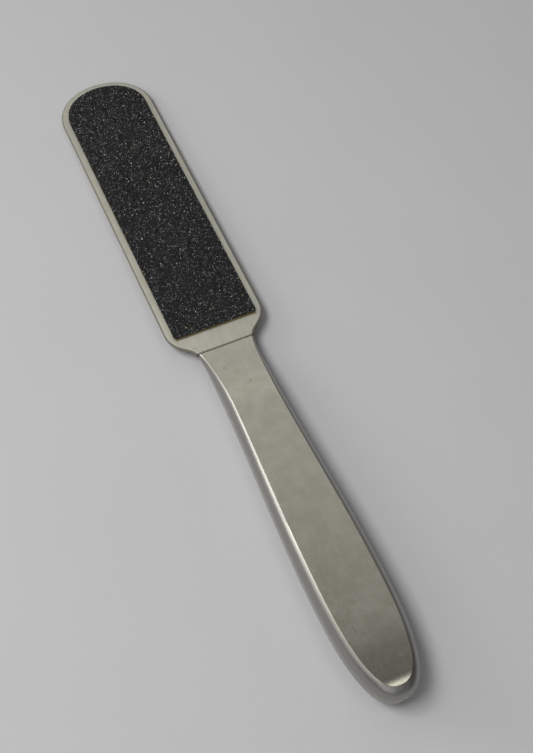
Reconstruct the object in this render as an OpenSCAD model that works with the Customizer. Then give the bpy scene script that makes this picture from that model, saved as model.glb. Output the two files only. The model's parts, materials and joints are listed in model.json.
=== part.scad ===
// Two-sided foot file with a flat steel head and a hollow steel handle.
// The head carries a coarse abrasive pad on its front and a fine one on its back.
// The tool lies along Y with the head's tip at +Y, its coarse side faces +Z,
// and the origin is half way along it, on the plane where the handle's shells meet.

/* [Head plate] */
// Length of the head, from its tip to the mouth of the handle
head_l = 125.5; // [110:0.5:140]
// Width of the head between its parallel sides
head_w = 34; // [30:0.5:38]
// Thickness of the sheet that the head is cut from
plate_t = 1.5; // [1:0.1:2.5]
// Radius of the flat arc across the head's tip
tip_r = 19.6; // [19.2:0.1:26]
// Radius of the two corners that join the tip's arc to the sides
tip_corner_r = 14.5; // [8:0.5:14.9]
// Radius rubbed on all the plate's edges
plate_edge_r = 0.6; // [0.2:0.05:0.9]

/* [Shoulders and tang] */
// Radius where each side turns in towards the neck
shoulder_r = 9; // [5:0.5:9]
// Slope of the shoulder's straight stretch, off the tool's length, in degrees
shoulder_slope = 50; // [45:1:60]
// Radius where the shoulder runs out into the neck
neck_fillet_r = 6; // [3:0.5:7]
// Width of the tool where the plate meets the handle
neck_w = 19.4; // [18:0.2:21]
// Slope at which the plate's edge still runs in where it meets the handle, in degrees
neck_slope = 16; // [8:1:20]
// How far the tang reaches into the handle
tang_l = 24; // [12:1:40]
// Width of the tang's inner end
tang_end_w = 11; // [8:0.5:12]
// Radius of the corners of the tang's inner end
tang_corner_r = 2; // [1:0.5:3]
// Gap between the tang's edge and the flat it slides in under
tang_gap = 0.4; // [0.2:0.05:0.8]

/* [Abrasive pads] */
// Width of bare steel left round each pad
pad_border = 2.5; // [1.5:0.25:4]
// Bare steel between a pad's square end and the mouth of the handle
pad_setback = 8.5; // [6:0.25:20]
// Radius of the pad's corners at the square end
pad_corner_r = 1; // [0.5:0.25:3]
// Thickness of the adhesive film under a pad
adhesive_t = 0.12; // [0.05:0.01:0.3]
// Thickness of a pad's backing sheet
backing_t = 0.42; // [0.2:0.02:0.8]
// Thickness of the coarse pad's layer of grit
coarse_grit_t = 0.36; // [0.2:0.02:0.6]
// Thickness of the fine pad's layer of grit
fine_grit_t = 0.18; // [0.08:0.02:0.3]

/* [Handle] */
// Length of the handle, from its mouth to its rounded end
handle_l = 128.5; // [120:0.5:140]
// Greatest width of the handle
handle_w = 23.4; // [21:0.2:28]
// Thickness of the handle over its two ground faces
handle_t = 11.6; // [9:0.2:14]
// Width of the handle at its waist
waist_w = 18; // [16.5:0.1:18]
// Distance of the waist from the mouth
waist_at = 10; // [6:1:16]
// Distance of the widest place from the mouth
widest_at = 90; // [80:1:100]
// Thickness of the sheet that the shells are pressed from
shell_t = 1; // [0.6:0.1:1.4]
// Length over which the handle thickens behind its mouth
swell_l = 26; // [18:1:36]
// Length of the land inside the mouth that grips the tang
mouth_land = 4; // [2:0.5:8]
// Chamfer on the outer edge of the mouth
mouth_chamfer = 0.25; // [0.1:0.05:0.5]

/* [Handle end] */
// Distance from the end at which the ground face starts to roll down
face_roll_l = 16.5; // [10:0.5:24]
// Radius of that roll
face_roll_r = 220; // [160:10:400]
// Distance from the end at which the roll tightens towards the lip
lip_roll_l = 5.3; // [4:0.1:7]
// Radius of the tighter roll
lip_roll_r = 12; // [10:1:30]
// Distance of the ground face's rounded end from the handle's end
lip_setback = 2.8; // [2.2:0.1:3.8]

/* [Hidden] */

// Places along the tool
tip_y = (head_l + handle_l) / 2;
mouth_y = tip_y - head_l;
pad_end_y = mouth_y + pad_setback;

// Share of the handle's width that its ground face takes at the mouth, and past the swell
mouth_face_share = 0.94;
body_face_share = 0.788;
// The face's share of a section never falls below this, so the rounded end stays a clean mesh
least_face_share = 0.06;
// How square the handle's walls are in section; 2 is an ellipse
wall_power = 3;
// How square the handle's end is, seen from above and from the side; 2 is an ellipse
end_plan_power = 2.6;
end_side_power = 3.1;
// How gently the handle starts to thicken behind its mouth
swell_power = 1.25;
// Most of the plate's thickness that its two rubbed edges may take together
most_edge_share = 0.9;

// Steps along curves
tip_steps = 6;
corner_steps = 12;
shoulder_steps = 10;
edge_steps = 4;
wall_steps = 9;
swell_steps = 13;
body_steps = 14;
end_steps = 16;
lip_steps = 5;
$fn = 96;

// Colours
steel_colour = [0.62, 0.61, 0.56];
plate_colour = [0.66, 0.65, 0.58];
coarse_colour = [0.12, 0.12, 0.13];
fine_colour = [0.20, 0.20, 0.21];
backing_colour = [0.47, 0.35, 0.17];
adhesive_colour = [0.75, 0.62, 0.35];

// Outline of the head and the pads
half_w = head_w / 2;
corner_x = half_w - tip_corner_r;
tip_centre_y = tip_y - tip_r;
corner_y = tip_centre_y + sqrt(pow(tip_r - tip_corner_r, 2) - pow(corner_x, 2));
// Direction in which the tip's arc hands over to the corner's
tip_join = atan2(corner_y - tip_centre_y, corner_x);

// The neck's fillet is centred outside the plate, and its lowest stretch lies under the handle
fillet_x = neck_w / 2 + neck_fillet_r * cos(neck_slope);
fillet_y = mouth_y - neck_fillet_r * sin(neck_slope);
shoulder_x = half_w - shoulder_r;
// The shoulder's straight stretch runs from the fillet to the shoulder's own arc
straight_x = shoulder_x + shoulder_r * cos(shoulder_slope)
    - (fillet_x - neck_fillet_r * cos(shoulder_slope));
shoulder_y = fillet_y + (neck_fillet_r + shoulder_r) * sin(shoulder_slope)
    + straight_x / tan(shoulder_slope);

edge_r = min(plate_edge_r, plate_t / 2 * most_edge_share);

// Handle
half_t = handle_t / 2;
tang_half_w = mouth_face_share * (neck_w / 2 - shell_t) - tang_gap;
cavity_l = handle_l - shell_t;
face_end = handle_l - lip_setback;
// The shell's mouth lies on the tang, so it opens at the plate's thickness plus the sheet's
mouth_half_t = plate_t / 2 + shell_t;

// Points of an arc round [x, y], from one direction to another, with or without its first point
function arc(x, y, r, from, to, steps, first = 0) =
    [for (i = [first:steps]) let (a = from + (to - from) * i / steps) [x + r * cos(a), y + r * sin(a)]];

// Right half of the plate's outline, drawn in by an inset, from the tip to the tang's end
function plate_half(inset) = concat(
    arc(0, tip_centre_y, tip_r - inset, 90, tip_join, tip_steps),
    arc(corner_x, corner_y, tip_corner_r - inset, tip_join, 0, corner_steps, 1),
    arc(shoulder_x, shoulder_y, shoulder_r - inset, 0, -shoulder_slope, shoulder_steps),
    arc(fillet_x, fillet_y, neck_fillet_r + inset, 180 - shoulder_slope,
        180 - asin((mouth_y + inset - fillet_y) / (neck_fillet_r + inset)), shoulder_steps),
    [[tang_half_w - inset, mouth_y + inset]],
    arc(tang_end_w / 2 - tang_corner_r, mouth_y - tang_l + tang_corner_r,
        tang_corner_r - inset, 0, -90, edge_steps));

// A closed outline from its right half, whose first point lies on the tool's middle
function both_halves(half) =
    concat(half, [for (i = [len(half) - 1:-1:1]) [-half[i][0], half[i][1]]]);

// Heights and insets of the plate's rounded edge, from its back face to its front face
edge_turns = [for (i = [0:edge_steps]) 90 * i / edge_steps];
edge_levels = concat(
    [for (a = edge_turns) [edge_r * (1 - sin(a)), edge_r * (1 - cos(a)) - plate_t / 2]],
    [for (a = edge_turns) [edge_r * (1 - cos(a)), plate_t / 2 - edge_r * (1 - sin(a))]]);

// A solid skinned over closed rings of equal count, each ring clockwise seen from +Z
module skin_up(rings) {
    count = len(rings[0]);
    last = (len(rings) - 1) * count;
    function at(ring, i) = ring * count + i % count;
    sides = [for (r = [0:len(rings) - 2]) for (i = [0:count - 1])
        each [[at(r, i), at(r, i + 1), at(r + 1, i + 1)], [at(r, i), at(r + 1, i + 1), at(r + 1, i)]]];
    back_face = [for (i = [count - 1:-1:0]) i];
    front_face = [for (i = [0:count - 1]) last + i];
    polyhedron([for (ring = rings) each ring], concat(sides, [back_face, front_face]));
}

// Half width of the handle, measured t behind its mouth, for a body of a given length and inset
function handle_half_w(t, length, inset) =
    t < waist_at ? waist_w / 2 + (neck_w - waist_w) / 2 * pow(1 - t / waist_at, 3) - inset :
    t < widest_at ? (waist_w + (handle_w - waist_w) * rise((t - waist_at) / (widest_at - waist_at))) / 2
        - inset :
    (handle_w / 2 - inset) * end_round((t - widest_at) / (length - widest_at), end_plan_power);

// Eases from 0 to 1
function rise(share) = (1 - cos(180 * share)) / 2;

// Falls from 1 to 0 along a rounded end
function end_round(share, power) = pow(max(0, 1 - pow(max(0, share), power)), 1 / power);

// Share of the swell that is reached a given share of the way along it
function swell(share) = pow(sin(90 * min(1, max(0, share))), swell_power);

// How far the ground face has rolled down, t behind the mouth
function roll(t, start, radius) = pow(max(0, t - handle_l + start), 2) / (2 * radius);
function face_drop(t) = roll(t, face_roll_l, face_roll_r) + roll(t, lip_roll_l, lip_roll_r);

// Height of the outer face, and of the cavity's flat under it
function face_z(t) = mouth_half_t + (half_t - mouth_half_t) * swell(t / swell_l) - face_drop(t);
function cavity_z(t) = plate_t / 2
    + (half_t - shell_t - plate_t / 2) * swell((t - mouth_land) / (swell_l - mouth_land)) - face_drop(t);

// What is left of the flat's height beyond its end, where the wall rounds off the handle
function end_fall(t, flat_end, length) = t < flat_end ? 1 :
    end_round((t - widest_at) / (length - widest_at), end_side_power)
    / end_round((flat_end - widest_at) / (length - widest_at), end_side_power);

// Share of the section's width that is flat, up to the widest place
function face_share(t) = mouth_face_share - (mouth_face_share - body_face_share) * swell(t / swell_l);

// Half a section: up the rounded wall on the right, across the flat, and down on the left.
// The flat's outline is the handle's own, drawn in by its share and closed at the flat's end.
function half_section(t, z, flat_end, length, inset) =
    let (w = handle_half_w(t, length, inset))
    let (flat_w = face_share(t) * handle_half_w(t, flat_end, inset))
    let (top = acos(pow(max(least_face_share, flat_w / w), wall_power / 2)))
    let (wall = [for (i = [0:wall_steps]) let (a = top * i / wall_steps)
        [w * pow(cos(a), 2 / wall_power),
            z * end_fall(t, flat_end, length) * pow(sin(a) / sin(top), 2 / wall_power)]])
    concat([for (p = wall) [p[0], mouth_y - t, p[1]]],
        [for (i = [wall_steps:-1:0]) [-wall[i][0], mouth_y - t, wall[i][1]]]);

// Places of the sections behind the mouth: close together where the shape turns
stations = concat([0],
    [for (i = [0:swell_steps - 1]) mouth_chamfer + (swell_l - mouth_chamfer) * i / swell_steps],
    [for (i = [0:body_steps - 1]) swell_l + (widest_at - swell_l) * i / body_steps],
    [for (i = [0:end_steps - 1]) widest_at + (face_end - widest_at) * sin(90 * i / end_steps)],
    [for (i = [0:lip_steps - 1]) face_end + (handle_l - face_end) * sin(90 * i / lip_steps)]);

function outer_section(t) =
    let (inset = max(0, mouth_chamfer - t))
    half_section(t, face_z(min(t, face_end)) - inset, face_end, handle_l, inset);

function cavity_section(t) =
    let (flat_end = face_end - shell_t)
    half_section(t, cavity_z(min(t, flat_end)), flat_end, cavity_l, shell_t);

// One pressed half of the handle, its seam on the plane z = 0 and its ground face at the top
module handle_shell() {
    outer = [for (t = stations) outer_section(t)];
    cavity = [for (t = stations) cavity_section(t * cavity_l / handle_l)];
    count = len(outer[0]);
    rings = len(outer);
    function out(r, i) = r * count + i;
    function inn(r, i) = (rings + r) * count + i;
    out_end = 2 * rings * count;
    inn_end = out_end + 1;
    last = rings - 1;
    walls = [for (r = [0:last - 1]) for (i = [0:count - 2]) each [
        [out(r, i), out(r, i + 1), out(r + 1, i + 1)], [out(r, i), out(r + 1, i + 1), out(r + 1, i)],
        [inn(r, i), inn(r + 1, i + 1), inn(r, i + 1)], [inn(r, i), inn(r + 1, i), inn(r + 1, i + 1)]]];
    ends = [for (i = [0:count - 2]) each [
        [out(last, i), out(last, i + 1), out_end], [inn(last, i + 1), inn(last, i), inn_end]]];
    mouth = [for (i = [0:count - 2]) [out(0, i), inn(0, i), inn(0, i + 1), out(0, i + 1)]];
    seam = [for (r = [0:last - 1]) each [
        [out(r, 0), out(r + 1, 0), inn(r + 1, 0), inn(r, 0)],
        [out(r, count - 1), inn(r, count - 1), inn(r + 1, count - 1), out(r + 1, count - 1)]]];
    seam_end = [[out(last, 0), out_end, inn_end, inn(last, 0)],
        [out(last, count - 1), inn(last, count - 1), inn_end, out_end]];
    polyhedron(concat([for (ring = outer) each ring], [for (ring = cavity) each ring],
        [[0, mouth_y - handle_l, 0], [0, mouth_y - cavity_l, 0]]),
        concat(walls, ends, mouth, seam, seam_end));
}

// Outline of a pad: the head's own tip drawn in by the border, and a square end
module pad_outline() {
    w = half_w - pad_border;
    corner_r = tip_corner_r - pad_border;
    for (side = [-1, 1])
        translate([side * corner_x, corner_y]) circle(corner_r);
    intersection() {
        translate([0, tip_centre_y]) circle(tip_r - pad_border);
        polygon([[0, tip_centre_y], [tip_r * cos(tip_join), tip_centre_y + tip_r * sin(tip_join)],
            [0, tip_y + tip_r], [-tip_r * cos(tip_join), tip_centre_y + tip_r * sin(tip_join)]]);
    }
    translate([-w, pad_end_y + pad_corner_r])
        square([2 * w, corner_y - pad_end_y - pad_corner_r]);
    translate([pad_corner_r - w, pad_end_y])
        square([2 * (w - pad_corner_r), 2 * pad_corner_r]);
    for (side = [-1, 1])
        translate([side * (w - pad_corner_r), pad_end_y + pad_corner_r]) circle(pad_corner_r);
}

// One layer of a pad that starts a given height above the plate's face
module pad_layer(above, thickness) {
    translate([0, 0, plate_t / 2 + above]) linear_extrude(thickness) pad_outline();
}

// Puts a piece on the tool's back
module on_back() {
    mirror([0, 0, 1]) children();
}

module head_plate() {
    color(plate_colour)
        skin_up([for (level = edge_levels)
            [for (p = both_halves(plate_half(level[0]))) [p[0], p[1], level[1]]]]);
}

module front_handle_shell() {
    color(steel_colour) handle_shell();
}

module back_handle_shell() {
    color(steel_colour) on_back() handle_shell();
}

module coarse_pad_adhesive() {
    color(adhesive_colour) pad_layer(0, adhesive_t);
}

module coarse_pad_backing() {
    color(backing_colour) pad_layer(adhesive_t, backing_t);
}

module coarse_grit_layer() {
    color(coarse_colour) pad_layer(adhesive_t + backing_t, coarse_grit_t);
}

module fine_pad_adhesive() {
    color(adhesive_colour) on_back() pad_layer(0, adhesive_t);
}

module fine_pad_backing() {
    color(backing_colour) on_back() pad_layer(adhesive_t, backing_t);
}

module fine_grit_layer() {
    color(fine_colour) on_back() pad_layer(adhesive_t + backing_t, fine_grit_t);
}

head_plate();
front_handle_shell();
back_handle_shell();
coarse_pad_adhesive();
coarse_pad_backing();
coarse_grit_layer();
fine_pad_adhesive();
fine_pad_backing();
fine_grit_layer();
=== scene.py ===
# %% [markdown]
# # A two-sided foot file
#
# The tool has a flat steel head with an abrasive pad stuck to each side, and a hollow
# steel handle that is ground flat on its front and back. The solids that hold the tool
# together arrive as a fixed frame. This lesson dresses them: it softens the edges that a
# grinding belt leaves, grows the grit on the pads grain by grain, and gives every metal,
# resin and abrasive surface its own procedural finish.
#
# All lengths are in metres, in the frame's own axes: +Y runs along the tool to the tip
# of the head, +Z comes out of the coarse side, and X runs across.

import json
import math

import bpy
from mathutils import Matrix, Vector

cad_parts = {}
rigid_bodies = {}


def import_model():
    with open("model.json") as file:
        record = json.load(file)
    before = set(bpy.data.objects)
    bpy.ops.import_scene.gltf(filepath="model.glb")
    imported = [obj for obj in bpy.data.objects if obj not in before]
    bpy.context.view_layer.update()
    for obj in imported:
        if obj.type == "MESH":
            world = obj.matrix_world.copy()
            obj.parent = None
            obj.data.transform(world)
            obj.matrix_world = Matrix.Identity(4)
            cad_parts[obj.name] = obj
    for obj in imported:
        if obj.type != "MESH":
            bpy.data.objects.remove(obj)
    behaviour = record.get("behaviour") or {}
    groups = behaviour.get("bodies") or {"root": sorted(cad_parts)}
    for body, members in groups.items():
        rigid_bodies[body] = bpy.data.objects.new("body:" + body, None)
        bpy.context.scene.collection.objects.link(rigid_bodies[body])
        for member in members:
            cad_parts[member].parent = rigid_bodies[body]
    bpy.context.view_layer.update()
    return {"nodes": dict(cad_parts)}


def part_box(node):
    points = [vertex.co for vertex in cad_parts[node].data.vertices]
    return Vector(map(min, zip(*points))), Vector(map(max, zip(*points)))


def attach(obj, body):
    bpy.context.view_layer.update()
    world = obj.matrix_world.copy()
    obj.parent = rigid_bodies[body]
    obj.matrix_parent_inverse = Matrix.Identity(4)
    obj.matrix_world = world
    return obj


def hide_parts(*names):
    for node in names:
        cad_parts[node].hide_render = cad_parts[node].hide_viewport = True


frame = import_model()
MM = 0.001

# %% [markdown]
# ## Camera
#
# The camera comes first, because every later choice is judged through it. It is placed
# by how far round the tool it stands, how high above it, how far away, and what it looks
# at. The focal length is a long one, so that the tool's far end hardly shrinks. Blender's
# sensor width covers the longer side of a tall picture.

# %% Camera
CAMERA_AZIMUTH = math.radians(-23.68)
CAMERA_ELEVATION = math.radians(57.97)
CAMERA_DISTANCE = 440.9 * MM
CAMERA_AIM = Vector((7.5 * MM, -14.1 * MM, 0))
CAMERA_LENS = 65.8
CAMERA_NEAR = 10 * MM

away = Vector((
    math.sin(CAMERA_AZIMUTH) * math.cos(CAMERA_ELEVATION),
    -math.cos(CAMERA_AZIMUTH) * math.cos(CAMERA_ELEVATION),
    math.sin(CAMERA_ELEVATION),
))
bpy.ops.object.camera_add(location=CAMERA_AIM + CAMERA_DISTANCE * away)
camera = bpy.context.object
camera.name = "camera"
camera.rotation_euler = away.to_track_quat("Z", "Y").to_euler()
camera.data.lens = CAMERA_LENS
camera.data.clip_start = CAMERA_NEAR
bpy.context.scene.camera = camera
print("camera at mm:", [round(c / MM) for c in camera.location])

# %% [markdown]
# ## Small tools for modelling
#
# Operators act on whatever is selected, so every step starts by picking exactly one
# object. Blender's modes and selections are global, and a lesson that never resets them
# soon edits the wrong mesh. Faces are then selected in code, by their normals.

# %% Picking and selecting
def pick(piece):
    """Selects one object and nothing else, and makes it the active one."""
    if bpy.context.mode != "OBJECT":
        bpy.ops.object.mode_set(mode="OBJECT")
    bpy.ops.object.select_all(action="DESELECT")
    piece.select_set(True)
    bpy.context.view_layer.objects.active = piece


def edit(piece):
    """Opens one object in edit mode with all of its mesh selected."""
    pick(piece)
    bpy.ops.object.mode_set(mode="EDIT")
    bpy.ops.mesh.select_all(action="SELECT")


def select_faces(piece, wanted):
    """In edit mode, leaves only those faces selected for which wanted() holds."""
    bpy.ops.mesh.select_mode(type="FACE")
    bpy.ops.mesh.select_all(action="DESELECT")
    bpy.ops.object.mode_set(mode="OBJECT")
    for face in piece.data.polygons:
        face.select = wanted(face)
    bpy.ops.object.mode_set(mode="EDIT")


def say(piece):
    """Prints a piece's size and how many faces it has."""
    faces = len(piece.data.polygons)
    size = [round(side / MM, 2) for side in piece.dimensions]
    print(f"{piece.name}: {faces} faces, {size} mm")

# %% [markdown]
# A CAD part arrives as loose triangles that must not be touched. A copy of it may be:
# its corners are merged, triangles that lie flat against each other become quads again,
# and each flat face is dissolved into one polygon, which later steps can inset or cut.

# %% Merged copies
MERGE_GAP = 0.001 * MM
QUAD_BEND, QUAD_SKEW = math.radians(3), math.radians(80)
FLAT_COSINE = 0.9999


def merged_copy(node, name):
    """A copy of a CAD node whose loose triangles are merged into one skin of quads."""
    piece = bpy.data.objects.new(name, frame["nodes"][node].data.copy())
    piece.data.name = name
    bpy.context.scene.collection.objects.link(piece)
    piece.data.materials.clear()
    edit(piece)
    bpy.ops.mesh.customdata_custom_splitnormals_clear()
    bpy.ops.mesh.remove_doubles(threshold=MERGE_GAP)
    bpy.ops.mesh.tris_convert_to_quads(face_threshold=QUAD_BEND, shape_threshold=QUAD_SKEW)
    bpy.ops.object.mode_set(mode="OBJECT")
    return piece


def dissolve_flats(piece):
    """Makes one polygon of the triangles of a piece's flat front, and one of its back."""
    edit(piece)
    for side in (1, -1):
        select_faces(piece, lambda face: face.normal.z * side > FLAT_COSINE)
        bpy.ops.mesh.dissolve_faces()
    bpy.ops.object.mode_set(mode="OBJECT")


def carry(piece, node):
    """Lets a piece ride on the tool and stand for its CAD node, and prints its size."""
    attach(piece, "root")
    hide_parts(node)
    say(piece)

# %% [markdown]
# ## Small tools for materials
#
# A shader is a tree of nodes, and long trees are hard to read as code. `Wire` wraps one
# output socket, so that sums on it can be written as plain Python and add the Math nodes
# by themselves. Each sign has a second, reflected method, for a number that stands before
# a wire, as in `1 - mask`.

# %% Shader wires
class Wire:
    """An output socket of a node tree. Arithmetic on it adds Math nodes."""

    def __init__(self, tree, socket):
        self.tree = tree
        self.socket = socket

    def maths(self, operation, *values):
        """Adds a Math node that works on values or wires."""
        return self.tree.add("ShaderNodeMath", {"operation": operation}, dict(enumerate(values)))

    def __add__(self, other):
        return self.maths("ADD", self, other)

    def __radd__(self, other):
        return self.maths("ADD", other, self)

    def __sub__(self, other):
        return self.maths("SUBTRACT", self, other)

    def __rsub__(self, other):
        return self.maths("SUBTRACT", other, self)

    def __mul__(self, other):
        return self.maths("MULTIPLY", self, other)

    def __rmul__(self, other):
        return self.maths("MULTIPLY", other, self)

    def __abs__(self):
        return self.maths("ABSOLUTE", self)

# %% [markdown]
# `Tree.add` makes every other node: its settings go in first, because a setting can
# change which sockets a node has. A socket is given by its name, or by its number where a
# node has several of one name. The methods after it are the nodes that the finishes of
# this tool use again and again.

# %% Node trees
class Tree:
    """A node tree that is built by calls."""

    def __init__(self, node_tree):
        self.nodes = node_tree.nodes
        self.links = node_tree.links
        self.nodes.clear()

    def add(self, kind, settings=None, sockets=None, output=0):
        """Adds a node, sets it up, gives its sockets values or wires, and returns one output."""
        node = self.nodes.new(kind)
        for name, value in (settings or {}).items():
            setattr(node, name, value)
        for name, value in (sockets or {}).items():
            if isinstance(value, Wire):
                self.links.new(value.socket, node.inputs[name])
            else:
                node.inputs[name].default_value = value
        return Wire(self, node.outputs[output]) if node.outputs else None

    def place(self):
        """The object's own coordinates, in metres."""
        return self.add("ShaderNodeTexCoord", output="Object")

    def axis(self, vector, name):
        """One of a vector's three numbers: X, Y or Z."""
        return self.add("ShaderNodeSeparateXYZ", {}, {0: vector}, name)

    def noise(self, vector, scale, detail=3.0, roughness=0.6):
        """A noise from 0 to 1. Its scale, in features to the metre, may differ from axis to axis."""
        steps = scale if isinstance(scale, tuple) else (scale, scale, scale)
        stretched = self.add("ShaderNodeMapping", {}, {"Vector": vector, "Scale": steps})
        values = {"Vector": stretched, "Scale": 1.0, "Detail": detail, "Roughness": roughness}
        return self.add("ShaderNodeTexNoise", {}, values, "Fac")

    def step(self, value, low, high, at_low=0.0, at_high=1.0):
        """Eases from one number to another while a value goes from low to high."""
        values = {"Value": value, "From Min": low, "From Max": high, "To Min": at_low, "To Max": at_high}
        return self.add("ShaderNodeMapRange", {"interpolation_type": "SMOOTHSTEP"}, values, "Result")

    def blend(self, share, first, second):
        """Mixes two colours; share 0 gives the first."""
        values = {0: share, 6: first, 7: second}
        return self.add("ShaderNodeMix", {"data_type": "RGBA"}, values, 2)

    def larger(self, first, second):
        """The larger of two numbers."""
        return self.add("ShaderNodeMath", {"operation": "MAXIMUM"}, {0: first, 1: second})

    def bump(self, height, depth):
        """A normal that leans as if the surface rose by depth, in metres, where height is 1."""
        return self.add("ShaderNodeBump", {}, {"Strength": 1.0, "Distance": depth, "Height": height})

    def attribute(self, name):
        """A number that is stored on the mesh."""
        return self.add("ShaderNodeAttribute", {"attribute_name": name}, {}, "Fac")

# %% [markdown]
# A finish is a function that takes a tree and returns what goes into the sockets of one
# Principled shader. What changes over a surface arrives there as a wire, and what is the
# same all over it as a plain number.

# %% Materials
def rgb(red, green, blue):
    """A colour as a shader socket wants it, in linear light."""
    return (red, green, blue, 1.0)


def material(name, build):
    """A new material whose node tree build(tree) makes; build returns the shader's sockets."""
    made = bpy.data.materials.new(name)
    made.use_nodes = True
    tree = Tree(made.node_tree)
    shader = tree.add("ShaderNodeBsdfPrincipled", {}, build(tree))
    tree.add("ShaderNodeOutputMaterial", {}, {"Surface": shader})
    print(f"material {name}: {len(made.node_tree.nodes)} nodes")
    return made

# %% [markdown]
# ## The steel of the handle
#
# Both broad faces of the real handle are ground on a belt that runs lengthwise, and the
# oval walls are buffed on a soft wheel. Ground steel is satin: its grooves spread every
# reflection. Buffed steel is smoother, and shows a window as a crisp band. These could be
# two materials, but the two finishes run into each other over the rubbed edge. So one
# material mixes them by a number that is stored on the mesh, which is 1 on the ground
# faces and 0 on the walls.
#
# Four noises carry the detail: soft blotches a few millimetres wide, where the belt
# pressed harder, streaks along the tool, grooves almost too fine to see, and a few faint
# freckles. Towards its end the face's colour is painted darker, as painted shade, and the
# rolled lip is rubbed smooth.

# %% Steel finishes
GROUND_NAME = "ground"
HANDLE_FACE_COLOUR = rgb(0.47, 0.46, 0.375)
HANDLE_WORN_COLOUR = rgb(0.53, 0.52, 0.44)
# Painted shade: the colour that the face darkens to towards the handle's end.
HANDLE_END_SHADE_COLOUR = rgb(0.33, 0.325, 0.27)
HANDLE_WALL_COLOUR = rgb(0.335, 0.33, 0.31)
FRECKLE_COLOUR = rgb(0.2, 0.19, 0.16)
END_SHADE_FULL, END_SHADE_FROM, END_SHADE_SHARE = 12 * MM, 26 * MM, 0.75
LIP_FULL, LIP_FROM, LIP_POLISH = 4 * MM, 8 * MM, 0.8
BLOTCHES = 260
STREAKS = (1700, 75, 1700)
GROOVES = (7000, 160, 7000)
GROOVE_DEPTH = 0.003 * MM
FRECKLES = 700
FRECKLE_EDGE, FRECKLE_CORE, FRECKLE_SHARE = 0.77, 0.87, 0.3
TONE_LOW, TONE_HIGH = 0.36, 0.64
FACE_ROUGHNESS, WALL_ROUGHNESS = 0.20, 0.27
WALL_RELIEF = 0.25
handle_end_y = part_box("front_handle_shell")[0].y


def belt_marks(tree, place):
    """The marks of a grinding belt: blotches, streaks, grooves, and the relief of the last two."""
    blotches = tree.noise(place, BLOTCHES, detail=4.0)
    streaks = tree.noise(place, STREAKS)
    grooves = tree.noise(place, GROOVES, detail=2.0)
    return blotches, streaks, grooves, 0.6 * grooves + 0.4 * streaks


def handle_steel(tree):
    place = tree.place()
    ground = tree.attribute(GROUND_NAME)
    blotches, streaks, grooves, relief = belt_marks(tree, place)
    tone = 0.7 * blotches + 0.3 * streaks
    freckles = tree.step(tree.noise(place, FRECKLES, detail=0.0), FRECKLE_EDGE, FRECKLE_CORE)
    off_end = tree.axis(place, "Y") - handle_end_y
    # Painted shade: the face grows darker towards the handle's end.
    end_shade = tree.step(off_end, END_SHADE_FULL, END_SHADE_FROM, END_SHADE_SHARE, 0.0)
    lip = tree.step(off_end, LIP_FULL, LIP_FROM, 1.0, 0.0)
    bare = tree.blend(tree.step(tone, TONE_LOW, TONE_HIGH), HANDLE_FACE_COLOUR, HANDLE_WORN_COLOUR)
    face = tree.blend(end_shade, bare, HANDLE_END_SHADE_COLOUR)
    clean = tree.blend(ground, HANDLE_WALL_COLOUR, face)
    face_rough = FACE_ROUGHNESS + 0.08 * tone + 0.05 * grooves - 0.03 * lip
    wall_rough = WALL_ROUGHNESS + 0.10 * streaks
    kept_relief = (WALL_RELIEF + (1 - WALL_RELIEF) * ground) * (1 - LIP_POLISH * lip)
    return {
        "Base Color": tree.blend(FRECKLE_SHARE * freckles * ground, clean, FRECKLE_COLOUR),
        "Metallic": 1.0,
        "Roughness": ground * face_rough + (1 - ground) * wall_rough,
        "Normal": tree.bump(relief * kept_relief, GROOVE_DEPTH),
    }


handle_finish = material("handle_satin_steel", handle_steel)

# %% [markdown]
# ## The handle's two shells
#
# Each half of the handle is a pressed shell. Its crease, where the ground face meets
# the oval wall, comes out of the CAD as a knife edge, and no real edge is one: the belt
# and years of hands leave a small radius that catches the light as a thin line. A bevel
# over just those edges makes it. They are found by the normals of the faces on either
# side: one looks straight out of the handle, without leaning across it, and the other is
# part of the wall. Near the mouth the wall's facets are narrow, and one width for all
# would have to be as small as they allow. So each edge gets a weight, which the Bevel
# modifier multiplies its width by. It falls to nothing towards the handle's end, which
# the belt left crisp. There the edge is marked sharp, or smooth shading would roll the
# wall's light over it.

# %% Crease
CREASE_WIDTH = 0.28 * MM
CREASE_STEPS = 3
ROOM_SHARE = 0.4
CRISP_END, ROUND_FROM = 55 * MM, 105 * MM
LEAST_WEIGHT = 0.08
WEIGHT_NAME = "bevel_weight_edge"
CREASE_FACE_Z = 0.95
CREASE_WALL_LOW_Z, CREASE_WALL_HIGH_Z = 0.2, 0.93
GROUND_LEAN_X = 0.1


def faces_by_edge(mesh):
    """The faces on either side of each edge, under the edge's pair of corners."""
    sides = {}
    for face in mesh.polygons:
        for key in face.edge_keys:
            sides.setdefault(key, []).append(face)
    return sides


def crease_weight(length, corners, key, wall):
    """The share of the full width that a crease edge can take beside a face of the wall."""
    room = min(length[other] for other in wall.edge_keys if other != key and set(other) & set(key))
    off_end = min(corners[i].co.y for i in key) - handle_end_y
    rubbed = min(1, max(0, (off_end - CRISP_END) / (ROUND_FROM - CRISP_END)))
    return min(1, ROOM_SHARE * room / CREASE_WIDTH) * rubbed


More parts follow.
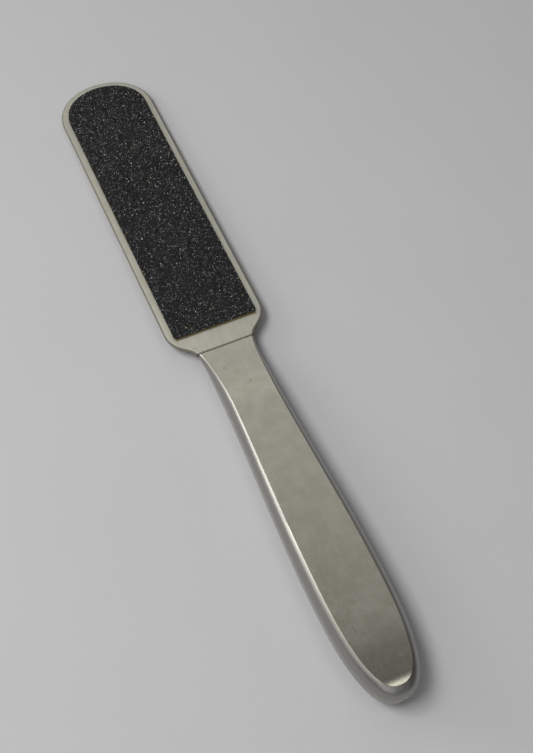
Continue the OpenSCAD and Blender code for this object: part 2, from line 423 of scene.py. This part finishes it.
def soften_crease(piece, side):
    """Rounds the edges between the ground face and the walls, each by its own weight."""
    mesh = piece.data
    corners = mesh.vertices
    length = {edge.key: (corners[edge.key[0]].co - corners[edge.key[1]].co).length for edge in mesh.edges}
    found = {}
    for key, faces in faces_by_edge(mesh).items():
        wall, *_, flat = sorted(faces, key=lambda face: face.normal.z * side)
        ground = flat.normal.z * side > CREASE_FACE_Z and abs(flat.normal.x) < GROUND_LEAN_X
        if ground and CREASE_WALL_LOW_Z < wall.normal.z * side < CREASE_WALL_HIGH_Z:
            found[key] = crease_weight(length, corners, key, wall)
    weights = mesh.attributes.new(WEIGHT_NAME, "FLOAT", "EDGE")
    for edge in mesh.edges:
        weight = found.get(edge.key, 0)
        weights.data[edge.index].value = weight if weight > LEAST_WEIGHT else 0
        edge.use_edge_sharp = edge.key in found and weight <= LEAST_WEIGHT
    bevel = piece.modifiers.new("crease", "BEVEL")
    bevel.limit_method = "WEIGHT"
    bevel.width = CREASE_WIDTH
    bevel.segments = CREASE_STEPS
    bevel.use_clamp_overlap = False
    pick(piece)
    bpy.ops.object.modifier_apply(modifier="crease")
    mesh.attributes.remove(mesh.attributes[WEIGHT_NAME])
    rounded = sum(weight > LEAST_WEIGHT for weight in found.values())
    print(f"{piece.name}: {len(found)} crease edges, {rounded} of them rounded")

# %% [markdown]
# After the bevel, the number that mixes the two finishes is stored on the mesh.
#
# The walls are flat facets, and smooth shading makes them look round. Beside the lip the
# wall turns by up to 39 degrees from one facet to the next, so smoothing goes up to 42.
# The Weighted Normal modifier lets large facets lead it, and not the narrow ones between
# them. The shells meet on the tool's mid-plane, where the real seam is ground away. Each
# is shaded by itself, so along the seam its shading is set as if the wall stood upright
# there, and the two look like one wall.

# %% Ground faces and shading
GROUND_Z = 0.93
WALL_ANGLE = 42
UPRIGHT_Z = 0.5


def store_ground(piece):
    """Stores 1 on the corners of faces that the belt has ground flat, and 0 on the rest."""
    ground = piece.data.attributes.new(GROUND_NAME, "FLOAT", "POINT")
    for face in piece.data.polygons:
        if abs(face.normal.z) > GROUND_Z and abs(face.normal.x) < GROUND_LEAN_X:
            for corner in face.vertices:
                ground.data[corner].value = 1.0


def smooth(piece, angle):
    """Shades a piece smooth, apart from edges sharper than an angle in degrees."""
    pick(piece)
    bpy.ops.object.shade_smooth_by_angle(angle=math.radians(angle))
    piece.modifiers.new("weighted", "WEIGHTED_NORMAL").keep_sharp = True
    bpy.ops.object.modifier_apply(modifier="weighted")


def level_seam(piece):
    """Turns the shading upright along the seam, so that two shells shade as one wall."""
    mesh = piece.data
    normals = [Vector(normal.vector) for normal in mesh.corner_normals]
    count = 0
    for corner, normal in zip(mesh.loops, normals):
        on_seam = abs(mesh.vertices[corner.vertex_index].co.z) < MERGE_GAP
        if on_seam and abs(normal.z) < UPRIGHT_Z:
            normal.z = 0
            normal.normalize()
            count += 1
    mesh.normals_split_custom_set(normals)
    print(f"{piece.name}: {count} seam corners levelled")

# %% [markdown]
# Both shells go through the same steps. The back one is the front one's mirror image, so
# only the side that its ground face looks to, 1 or -1, differs.

# %% Handle shells
shells = (("front_handle", "front_handle_shell", 1), ("back_handle", "back_handle_shell", -1))
for name, node, side in shells:
    shell = merged_copy(node, name)
    soften_crease(shell, side)
    store_ground(shell)
    smooth(shell, WALL_ANGLE)
    level_seam(shell)
    shell.data.materials.append(handle_finish)
    carry(shell, node)

# %% [markdown]
# ## The head
#
# The head is sheet steel, tumbled until its edges are round and its faces are dull, so
# it is a little paler and rougher than the handle. A fine dark line of painted shade lies
# across the neck, where the plate runs in under the handle's mouth. A line of old glue
# follows the square end of each pad, amber beside the pad, and beyond it a dark line of
# painted shade at the pad's foot. The rounded edge is rougher than the faces, because the
# tumbling stones strike it hardest, and its colour is painted darker, as painted shade.

# %% Head finish
HEAD_COLOUR = rgb(0.50, 0.49, 0.415)
HEAD_PALE_COLOUR = rgb(0.56, 0.55, 0.475)
# Painted shade: the darker colour of the head's rounded edge.
HEAD_RIM_SHADE_COLOUR = rgb(0.29, 0.28, 0.24)
GLUE_COLOUR = rgb(0.18, 0.135, 0.035)
# Painted shade: the colour of the dark lines in the joints, across the neck and at each pad's foot.
JOINT_SHADE_COLOUR = rgb(0.09, 0.085, 0.07)
HEAD_ROUGHNESS, RIM_ROUGHNESS = 0.42, 0.35
RIM_FULL, RIM_FROM = 0.95, 0.997
NECK_SHADE_REACH, NECK_SHADE_SHARE = 1.2 * MM, 0.8
# At each pad's square end: amber glue beside the pad, and painted shade beyond it.
GLUE_AND_SHADE_REACH, GLUE_AND_SHADE_SHARE = 0.55 * MM, 0.9
AMBER_FULL, AMBER_FROM = 0.40 * GLUE_AND_SHADE_REACH, 0.55 * GLUE_AND_SHADE_REACH
plate_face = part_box("head_plate")[1].z
mouth_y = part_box("front_handle_shell")[1].y
pad_low, pad_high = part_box("coarse_grit_layer")


def head_steel(tree):
    place = tree.place()
    blotches, streaks, grooves, relief = belt_marks(tree, place)
    tone = 0.5 * blotches + 0.5 * streaks
    clean = tree.blend(tree.step(tone, TONE_LOW, TONE_HIGH), HEAD_COLOUR, HEAD_PALE_COLOUR)
    # The rounded edge: its roughness is real, and its darker colour is painted shade.
    rim = tree.step(abs(tree.axis(place, "Z")), RIM_FULL * plate_face, RIM_FROM * plate_face, 1.0, 0.0)
    rim_shaded = tree.blend(rim, clean, HEAD_RIM_SHADE_COLOUR)
    # Painted shade: a fine dark line across the neck, beside the handle's mouth.
    beyond = abs(tree.axis(place, "Y") - mouth_y) + 0.3 * NECK_SHADE_REACH * (streaks - 0.5)
    dirt_and_shade = tree.step(beyond, 0.55 * NECK_SHADE_REACH, NECK_SHADE_REACH, 1.0, 0.0)
    # Beside each pad's square end: a band of amber glue, then a dark line of painted shade at the pad's
    # foot.
    ahead = abs(tree.axis(place, "Y") - pad_low.y) + 0.5 * GLUE_AND_SHADE_REACH * (blotches - 0.5)
    beside = abs(tree.axis(place, "X"))
    glue_and_shade = tree.step(ahead, 0.8 * GLUE_AND_SHADE_REACH, GLUE_AND_SHADE_REACH, 1.0, 0.0)
    glue_and_shade = glue_and_shade * tree.step(beside, pad_high.x - GLUE_AND_SHADE_REACH, pad_high.x, 1.0, 0.0)
    amber = glue_and_shade * tree.step(ahead, AMBER_FULL, AMBER_FROM, 1.0, 0.0)
    stained_and_shaded = tree.larger(NECK_SHADE_SHARE * dirt_and_shade, GLUE_AND_SHADE_SHARE * glue_and_shade)
    stain_and_shade = tree.blend(amber, JOINT_SHADE_COLOUR, GLUE_COLOUR)
    return {
        "Base Color": tree.blend(stained_and_shaded, rim_shaded, stain_and_shade),
        "Metallic": 1 - 0.8 * amber,
        "Roughness": HEAD_ROUGHNESS + 0.14 * tone + 0.06 * grooves + RIM_ROUGHNESS * rim,
        "Normal": tree.bump(relief, GROOVE_DEPTH),
    }


head_finish = material("head_satin_steel", head_steel)

# %% [markdown]
# The CAD plate already has its rounded edge. Its flat faces are fans of triangles, and a
# smooth edge would pull their shading askew. So each is dissolved into one polygon, and
# a narrow inset holds the bend of the light within a strip along the edge.

# %% Head
EDGE_STRIP = 0.25 * MM
EDGE_ANGLE = 30

head = merged_copy("head_plate", "steel_head")
dissolve_flats(head)
edit(head)
select_faces(head, lambda face: abs(face.normal.z) > FLAT_COSINE)
bpy.ops.mesh.inset(thickness=EDGE_STRIP)
bpy.ops.object.mode_set(mode="OBJECT")
smooth(head, EDGE_ANGLE)
head.data.materials.append(head_finish)
carry(head, "head_plate")

# %% [markdown]
# ## The layers under the grit
#
# A pad is three layers: a film of adhesive, a resin-soaked backing sheet, and the grit.
# The film and the backing show only as a thin line round the pad. Both are cut, so their
# edges waver a little, and a dead straight edge would look printed.
#
# A slab's flat polygon is first cut into squares with the bisect operator, one straight
# cut at a time. That keeps the outline exactly and gives the Displace modifier corners
# to move. Two of these shift the edge sideways by a cloud pattern.

# %% Pad layers
GRID_STEP = 1.0 * MM
WAVER_SIZE = 1.6 * MM
FILM_WAVER, BACKING_WAVER = 0.30 * MM, 0.10 * MM


def cut_into_squares(piece, step):
    """Cuts a slab across and along, every step, with the bisect operator."""
    xs = [corner.co.x for corner in piece.data.vertices]
    ys = [corner.co.y for corner in piece.data.vertices]
    edit(piece)
    for places, along in ((xs, Vector((1, 0, 0))), (ys, Vector((0, 1, 0)))):
        low, high = min(places), max(places)
        count = round((high - low) / step)
        for i in range(1, count):
            at = low + (high - low) * i / count
            bpy.ops.mesh.select_all(action="SELECT")
            bpy.ops.mesh.bisect(plane_co=at * along, plane_no=along)
    bpy.ops.object.mode_set(mode="OBJECT")


def pad_slab(node, name):
    """A copy of one layer of a pad, cut into squares."""
    slab = merged_copy(node, name)
    dissolve_flats(slab)
    cut_into_squares(slab, GRID_STEP)
    return slab


waver = bpy.data.textures.new("waver", "CLOUDS")
waver.noise_scale = WAVER_SIZE


def wavering_layer(node, name, amount, finish):
    """A film or a backing sheet whose cut edge wavers by an amount."""
    layer = pad_slab(node, name)
    for axis in ("X", "Y"):
        push = layer.modifiers.new("push", "DISPLACE")
        push.texture = waver
        push.direction = axis
        push.strength = amount
        pick(layer)
        bpy.ops.object.modifier_apply(modifier="push")
    layer.data.materials.append(finish)
    carry(layer, node)

# %% [markdown]
# The film is amber glue, clear where it is clean and brown where dirt sticks to it. The
# backing is cloth-like sheet soaked in resin. Its long edges are stained black by the
# coat that holds the grit, and the square end, cut last, shows its own amber colour.

# %% Film and backing finishes
FILM_COLOUR, FILM_DIRT_COLOUR = rgb(0.26, 0.17, 0.05), rgb(0.05, 0.035, 0.015)
FILM_ROUGHNESS = 0.25
FILM_DIRT, FILM_DIRT_DEPTH = 900, 0.02 * MM
AMBER_DARK_COLOUR, AMBER_COLOUR = rgb(0.17, 0.12, 0.035), rgb(0.30, 0.22, 0.075)
STAIN_COLOUR = rgb(0.03, 0.026, 0.02)
BACKING_ROUGHNESS = 0.55
WEAVE, WEAVE_DEPTH = (2500, 2500, 5000), 0.03 * MM
STAINS = 350
END_BAND = 0.4 * MM
PLY = 0.16 * MM
backing_low, backing_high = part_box("coarse_pad_backing")


def film(tree):
    place = tree.place()
    dirt_and_shade = tree.step(tree.noise(place, FILM_DIRT), 0.35, 0.7)
    return {
        "Base Color": tree.blend(dirt_and_shade, FILM_COLOUR, FILM_DIRT_COLOUR),
        "Roughness": FILM_ROUGHNESS + 0.3 * dirt_and_shade,
        "Normal": tree.bump(dirt_and_shade, FILM_DIRT_DEPTH),
    }


def backing(tree):
    place = tree.place()
    weave = tree.noise(place, WEAVE, detail=2.0, roughness=0.5)
    stain_and_shade = tree.noise(place, STAINS)
    bare = tree.step(tree.axis(place, "Y"), pad_low.y + END_BAND, pad_low.y + 2 * END_BAND, 1.0, 0.0)
    off_ply = abs(abs(tree.axis(place, "Z")) - 0.5 * (backing_low.z + backing_high.z))
    ply = tree.step(off_ply, 0.4 * PLY, 0.7 * PLY, 1.0, 0.0)
    spots = 0.5 * tree.step(stain_and_shade, 0.60, 0.68)
    shown = bare * tree.step(stain_and_shade, 0.25, 0.5, 0.35, 1.0)
    amber = tree.blend(tree.step(weave, 0.3, 0.7), AMBER_DARK_COLOUR, AMBER_COLOUR)
    return {
        "Base Color": tree.blend(tree.larger(shown, spots) * ply, STAIN_COLOUR, amber),
        "Roughness": BACKING_ROUGHNESS + 0.2 * weave,
        "Normal": tree.bump(weave, WEAVE_DEPTH),
    }


film_finish = material("pad_film", film)
backing_finish = material("pad_backing_sheet", backing)
for pad in ("coarse", "fine"):
    wavering_layer(f"{pad}_pad_adhesive", f"{pad}_film", FILM_WAVER, film_finish)
    wavering_layer(f"{pad}_pad_backing", f"{pad}_backing", BACKING_WAVER, backing_finish)

# %% [markdown]
# ## The grit
#
# Silicon carbide is crushed, not cast: every grain is a small block with sharp flat
# facets, and no two are alike. A bump map would show the grain from above but not along
# the pad's edge, where single grains stand against the steel. So the grains are real.
#
# Four blocks for the coarse pad and three for the fine one are modelled from low cones,
# two of them with a corner cut off by bisect. They need few faces, because each stands on
# the pad thousands of times. A Geometry Nodes modifier then scatters them over the bed of
# resin, not too close to each other, turned at random, each with a random tone that its
# material reads. In the lists below, a grain has a name, a number of sides, the radius
# of its top and its height, both against a foot of radius 1, and its cuts: which way each
# lies, and how far out.

# %% Grain shapes
def cut_corner(way, share):
    """Cuts off what lies beyond a share of the grain's radius in one direction, and closes it."""
    normal = Vector(way).normalized()
    bpy.ops.mesh.select_all(action="SELECT")
    bpy.ops.mesh.bisect(plane_co=normal * share, plane_no=normal, use_fill=True, clear_outer=True)


def grain_block(name, sides, top, height, cuts):
    """A many-sided block of radius 1 with its corners cut."""
    bpy.ops.mesh.primitive_cone_add(vertices=sides, radius1=1.0, radius2=top, depth=height)
    block = bpy.context.object
    block.name = name
    edit(block)
    for way, share in cuts:
        cut_corner(way, share)
    bpy.ops.mesh.select_all(action="SELECT")
    bpy.ops.mesh.normals_make_consistent(inside=False)
    bpy.ops.object.mode_set(mode="OBJECT")
    bpy.ops.object.transform_apply(location=True, rotation=True, scale=True)
    triangles = sum(len(face.vertices) - 2 for face in block.data.polygons)
    print(f"grain {name}: {triangles} triangles")
    return block


coarse_shapes = (
    ("wedge", 3, 0.55, 1.3, (((1, 0.2, 0.4), 0.62),)),
    ("brick", 4, 0.70, 1.2, ()),
    ("spike", 5, 0.00, 1.6, ()),
    ("shard", 3, 0.80, 0.9, (((-0.6, 1, 0.5), 0.58),)),
)
fine_shapes = (
    ("fine_wedge", 3, 0.60, 1.2, ()),
    ("fine_spike", 4, 0.00, 1.5, ()),
    ("fine_shard", 3, 0.85, 1.0, ()),
)

# %% [markdown]
# The grains are black and glassy. Most facets look into the dark between their
# neighbours, a few catch the light, and a few grains are paler: grey where they are
# dusty, and yellow, which is a bead of resin on the grain and a painted glint as well.
# The bed is the same black resin that holds the grains.

# %% Grain and resin finishes
TONE_NAME = "tone"
GRAIN_BLACK, GRAIN_DARK = rgb(0.003, 0.0032, 0.0037), rgb(0.013, 0.014, 0.0155)
GRAIN_DUSTY = rgb(0.056, 0.059, 0.059)
GRAIN_GREY, GREY_EDGE, GREY_CORE = rgb(0.143, 0.149, 0.151), 0.72, 0.97
# Partly painted highlight: the yellow grains also stand in for glints.
GRAIN_YELLOW_GLINT, YELLOW_EDGE, YELLOW_CORE = rgb(0.34, 0.30, 0.14), 0.988, 0.992
GRAIN_ROUGHNESS, GRAIN_IOR = 0.22, 1.6
DUST, DUST_AT_SQUARE_END, DUST_AT_TIP = 220, 0.10, 0.32
RESIN_BLACK, RESIN_DARK = rgb(0.003, 0.0031, 0.0034), rgb(0.0105, 0.0115, 0.012)
RESIN_ROUGHNESS, RESIN_SPECULAR = 0.45, 0.2
LUMPS, LUMP_DEPTH = 2600, 0.06 * MM


def grain(tree):
    place = tree.place()
    tone = tree.attribute(TONE_NAME)
    dust = tree.step(tree.noise(place, DUST), 0.35, 0.75)
    dust_share = tree.step(tree.axis(place, "Y"), pad_low.y, pad_high.y, DUST_AT_SQUARE_END, DUST_AT_TIP)
    dark = tree.blend(tree.step(tone, 0.0, 0.9), GRAIN_BLACK, GRAIN_DARK)
    dusty = tree.blend(dust_share * dust, dark, GRAIN_DUSTY)
    grey = tree.blend(tree.step(tone, GREY_EDGE, GREY_CORE), dusty, GRAIN_GREY)
    # The yellow grains are partly painted glints.
    return {
        "Base Color": tree.blend(tree.step(tone, YELLOW_EDGE, YELLOW_CORE), grey, GRAIN_YELLOW_GLINT),
        "Roughness": GRAIN_ROUGHNESS + 0.25 * dust,
        "IOR": GRAIN_IOR,
    }


def resin(tree):
    lumps = tree.noise(tree.place(), LUMPS)
    return {
        "Base Color": tree.blend(lumps, RESIN_BLACK, RESIN_DARK),
        "Roughness": RESIN_ROUGHNESS + 0.25 * lumps,
        "Specular IOR Level": RESIN_SPECULAR,
        "Normal": tree.bump(lumps, LUMP_DEPTH),
    }


grain_finish = material("carbide_grain", grain)
resin_finish = material("grit_resin", resin)

# %% [markdown]
# The bed is the CAD's grit slab, pressed down to the height at which the grains stand in
# it. Its outline stays, so the grains end where the real pad is cut.

# %% Bed
def bed_of_resin(node, name, side, depth):
    """The slab that the grains stand in, pressed down from the CAD's slab to a depth."""
    low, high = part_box(node)
    foot = low.z if side > 0 else high.z
    slab_depth = high.z - low.z
    bed = pad_slab(node, name)
    edit(bed)
    bpy.ops.transform.resize(value=(1, 1, depth / slab_depth), center_override=(0, 0, foot))
    bpy.ops.object.mode_set(mode="OBJECT")
    bed.data.materials.append(resin_finish)
    return bed

# %% [markdown]
# The scatter's node tree reads like a sentence: the faces that look out of the tool are
# set apart, points are strewn over them, a random grain on each, turned and sized at
# random, with its tone stored, made real, and joined to the bed. A Random Value node has
# a pair of sockets for each kind of value, so these are given by number. Far more points
# are offered, to the square metre, than the least distance between two of them lets in.

# %% Scatter
POINTS_OFFERED = 30e6
TOP_Z = 0.7
SMALLEST, LARGEST = 0.78, 1.16


def scatter_tree(grains, side, spacing, size, seed):
    """A Geometry Nodes tree that scatters the grains of a collection over a bed."""
    group = bpy.data.node_groups.new("scatter", "GeometryNodeTree")
    group.interface.new_socket("Geometry", in_out="INPUT", socket_type="NodeSocketGeometry")
    group.interface.new_socket("Geometry", in_out="OUTPUT", socket_type="NodeSocketGeometry")
    tree = Tree(group)
    bed = tree.add("NodeGroupInput")
    out_of_tool = tree.axis(tree.add("GeometryNodeInputNormal"), "Z") * side
    facing = out_of_tool.maths("GREATER_THAN", out_of_tool, TOP_Z)
    top = tree.add("GeometryNodeSeparateGeometry", {"domain": "FACE"}, {0: bed, 1: facing})
    points = tree.add("GeometryNodeDistributePointsOnFaces", {"distribute_method": "POISSON"}, {
        "Mesh": top, "Distance Min": spacing, "Density Max": POINTS_OFFERED, "Seed": seed,
    })
    shapes = tree.add("GeometryNodeCollectionInfo", {}, {
        "Collection": grains, "Separate Children": True, "Reset Children": True,
    })
    turn = tree.add("FunctionNodeRandomValue", {"data_type": "FLOAT_VECTOR"}, {
        0: (0, 0, 0), 1: (math.tau, math.tau, math.tau), 8: seed + 1,
    })
    scale = tree.add("FunctionNodeRandomValue", {"data_type": "FLOAT"}, {
        2: size * SMALLEST, 3: size * LARGEST, 8: seed + 2,
    }, 1)
    tone = tree.add("FunctionNodeRandomValue", {"data_type": "FLOAT"}, {
        2: 0.0, 3: 1.0, 8: seed + 3,
    }, 1)
    stood = tree.add("GeometryNodeInstanceOnPoints", {}, {
        "Points": points, "Instance": shapes, "Pick Instance": True, "Rotation": turn, "Scale": scale,
    })
    toned = tree.add("GeometryNodeStoreNamedAttribute", {"data_type": "FLOAT", "domain": "INSTANCE"}, {
        "Geometry": stood, "Name": TONE_NAME, "Value": tone,
    })
    real = tree.add("GeometryNodeRealizeInstances", {}, {0: toned})
    both = tree.add("GeometryNodeJoinGeometry", {}, {0: real})
    tree.links.new(bed.socket, both.socket.node.inputs[0])
    tree.add("NodeGroupOutput", {}, {0: both})
    return group

# %% [markdown]
# Each pad's bed and grains become one mesh, which stands for one solid of the CAD. The
# coarse grains are half as large again as the fine ones, and stand further apart. The
# blocks that they are copied from leave the scene afterwards.

# %% Grit on both pads
def grow_grit(node, name, side, shapes, spacing, size, depth, seed):
    """One pad's grit: a bed of some depth with grains of some size over it, as one mesh."""
    bed = bed_of_resin(node, name, side, depth)
    heap = bpy.data.collections.new(name + "_grains")
    for shape in shapes:
        block = grain_block(*shape)
        block.data.materials.append(grain_finish)
        heap.objects.link(block)
    grow = bed.modifiers.new("grow", "NODES")
    scatter = scatter_tree(heap, side, spacing, size, seed)
    grow.node_group = scatter
    pick(bed)
    bpy.ops.object.modifier_apply(modifier="grow")
    for block in list(heap.objects):
        bpy.data.objects.remove(block)
    bpy.data.collections.remove(heap)
    bpy.data.node_groups.remove(scatter)
    triangles = sum(len(face.vertices) - 2 for face in bed.data.polygons)
    print(f"{name}: {triangles} triangles, attributes {[a.name for a in bed.data.attributes]}")
    carry(bed, node)


grow_grit("coarse_grit_layer", "coarse_grit", side=1, shapes=coarse_shapes,
          spacing=0.39 * MM, size=0.215 * MM, depth=0.14 * MM, seed=11)
grow_grit("fine_grit_layer", "fine_grit", side=-1, shapes=fine_shapes,
          spacing=0.30 * MM, size=0.14 * MM, depth=0.07 * MM, seed=23)

# %% [markdown]
# ## Floor
#
# The tool lies on its back. It touches the sheet at two places: the tip of the fine pad,
# and the line where the back of the handle has thickened to its full depth. The floor
# passes through both, so it slopes a little in the tool's own frame.

# %% Floor
REST_GAP = 0.03 * MM
FLOOR_SIDE = 8.0
PAPER_COLOUR, PAPER_PALE_COLOUR = rgb(0.425, 0.425, 0.438), rgb(0.455, 0.455, 0.467)
PAPER_ROUGHNESS = 0.75
FIBRES, FIBRE_DEPTH = 900, 0.05 * MM
CLOUDS = 25


def paper(tree):
    place = tree.place()
    fibres = tree.noise(place, FIBRES, detail=5.0)
    tone = 0.7 * tree.noise(place, CLOUDS, roughness=0.5) + 0.3 * fibres
    return {
        "Base Color": tree.blend(tone, PAPER_COLOUR, PAPER_PALE_COLOUR),
        "Roughness": PAPER_ROUGHNESS,
        "Normal": tree.bump(fibres, FIBRE_DEPTH),
    }


back_shell = frame["nodes"]["back_handle_shell"].data
full_depth = min(corner.co.z for corner in back_shell.vertices)
grip_y = max(corner.co.y for corner in back_shell.vertices if corner.co.z < full_depth + REST_GAP)
fine_low, fine_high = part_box("fine_grit_layer")
slope = math.atan2(fine_low.z - full_depth, fine_high.y - grip_y)
bpy.ops.mesh.primitive_plane_add(size=FLOOR_SIDE, location=(0, grip_y, full_depth - REST_GAP))
floor = bpy.context.object
floor.name = "floor"
floor.rotation_euler = (slope, 0, 0)
floor.data.materials.append(material("pale_paper", paper))
print("floor slopes", round(math.degrees(slope), 2), "degrees")

# %% [markdown]
# ## Light
#
# Satin steel shows its surroundings, so the light is chosen by what each face mirrors.
# The main lamp stands high on the left, and draws the short shadow on the tool's right. A
# low window on the far left makes the bright band along the handle's left wall. A weak
# lamp almost overhead is there for the rolled lip at the handle's end, which mirrors it.

# %% Lamps
def soft_box(name, place, width, height, radiance, colour):
    """A rectangular lamp that faces the tool and looks equally bright from everywhere."""
    place = Vector(place)
    bpy.ops.object.light_add(type="AREA", location=place)
    lamp = bpy.context.object
    lamp.name = name
    lamp.data.shape = "RECTANGLE"
    lamp.data.size = width
    lamp.data.size_y = height
    lamp.data.energy = radiance * math.pi * width * height
    lamp.data.color = colour
    lamp.rotation_euler = place.to_track_quat("Z", "Y").to_euler()
    lamp.visible_camera = False
    print(f"{name}: {lamp.data.energy:.1f} W")


soft_box("key_box", (-0.36, -0.02, 0.753), width=0.50, height=0.28,
         radiance=11.5, colour=(1.0, 0.995, 0.98))
soft_box("left_window", (-0.614, 0.48, 0.30), width=0.44, height=0.34,
         radiance=3.9, colour=(1.0, 0.975, 0.935))
soft_box("lip_box", (0.22, -0.30, 1.00), width=0.34, height=0.34,
         radiance=2.3, colour=(1.0, 0.99, 0.97))

# %% [markdown]
# Everything else is a grey room, which the flat faces mirror: brighter beyond the head, in
# front on the left and high on the left, dimmer on the right, and darkest in a patch of
# ceiling over the handle, so that the handle grows darker towards its end. Each part is a
# direction, the edge where it starts, the line where it is full, and a level. Edge and
# line are cosines of the angle to the direction.

# %% World
WHITE = rgb(1.0, 1.0, 1.0)
ROOM_LEVEL = 0.25
RIGHT_EDGE, RIGHT_FULL, RIGHT_LEVEL = 0.25, 0.55, 0.12
beyond_head = (Vector((0.05, 0.64, 0.77)), 0.80, 0.98, 0.47)
front_left = (Vector((-0.42, -0.62, 0.66)), 0.80, 0.96, 0.50)
upper_left = (Vector((-0.74, 0.25, 0.62)), 0.86, 0.97, 0.60)
dark_patch = (Vector((-0.20, -0.05, 1.0)), 0.81, 0.88, 0.012)


def room(world):
    """A grey room with three brighter parts, a dim right side and a dark patch of ceiling."""
    tree = Tree(world.node_tree)
    way = tree.add("ShaderNodeTexCoord", output="Generated")

    def part(middle, edge, full):
        """1 in the directions near a middle one, easing to 0 further off."""
        ends = {0: way, 1: middle.normalized()}
        near = tree.add("ShaderNodeVectorMath", {"operation": "DOT_PRODUCT"}, ends, "Value")
        return tree.step(near, edge, full)

    level = tree.step(tree.axis(way, "X"), RIGHT_EDGE, RIGHT_FULL, ROOM_LEVEL, RIGHT_LEVEL)
    for middle, edge, full, brighter in (beyond_head, front_left, upper_left):
        level = level + brighter * part(middle, edge, full)
    middle, edge, full, darker = dark_patch
    patch = part(middle, edge, full)
    level = level * (1 - patch) + darker * patch
    shader = tree.add("ShaderNodeBackground", {}, {"Color": WHITE, "Strength": level})
    tree.add("ShaderNodeOutputWorld", {}, {"Surface": shader})
    print(f"world {world.name}: {len(world.node_tree.nodes)} nodes")


studio = bpy.data.worlds.new("studio")
studio.use_nodes = True
room(studio)
bpy.context.scene.world = studio
bpy.context.scene.view_settings.view_transform = "Standard"
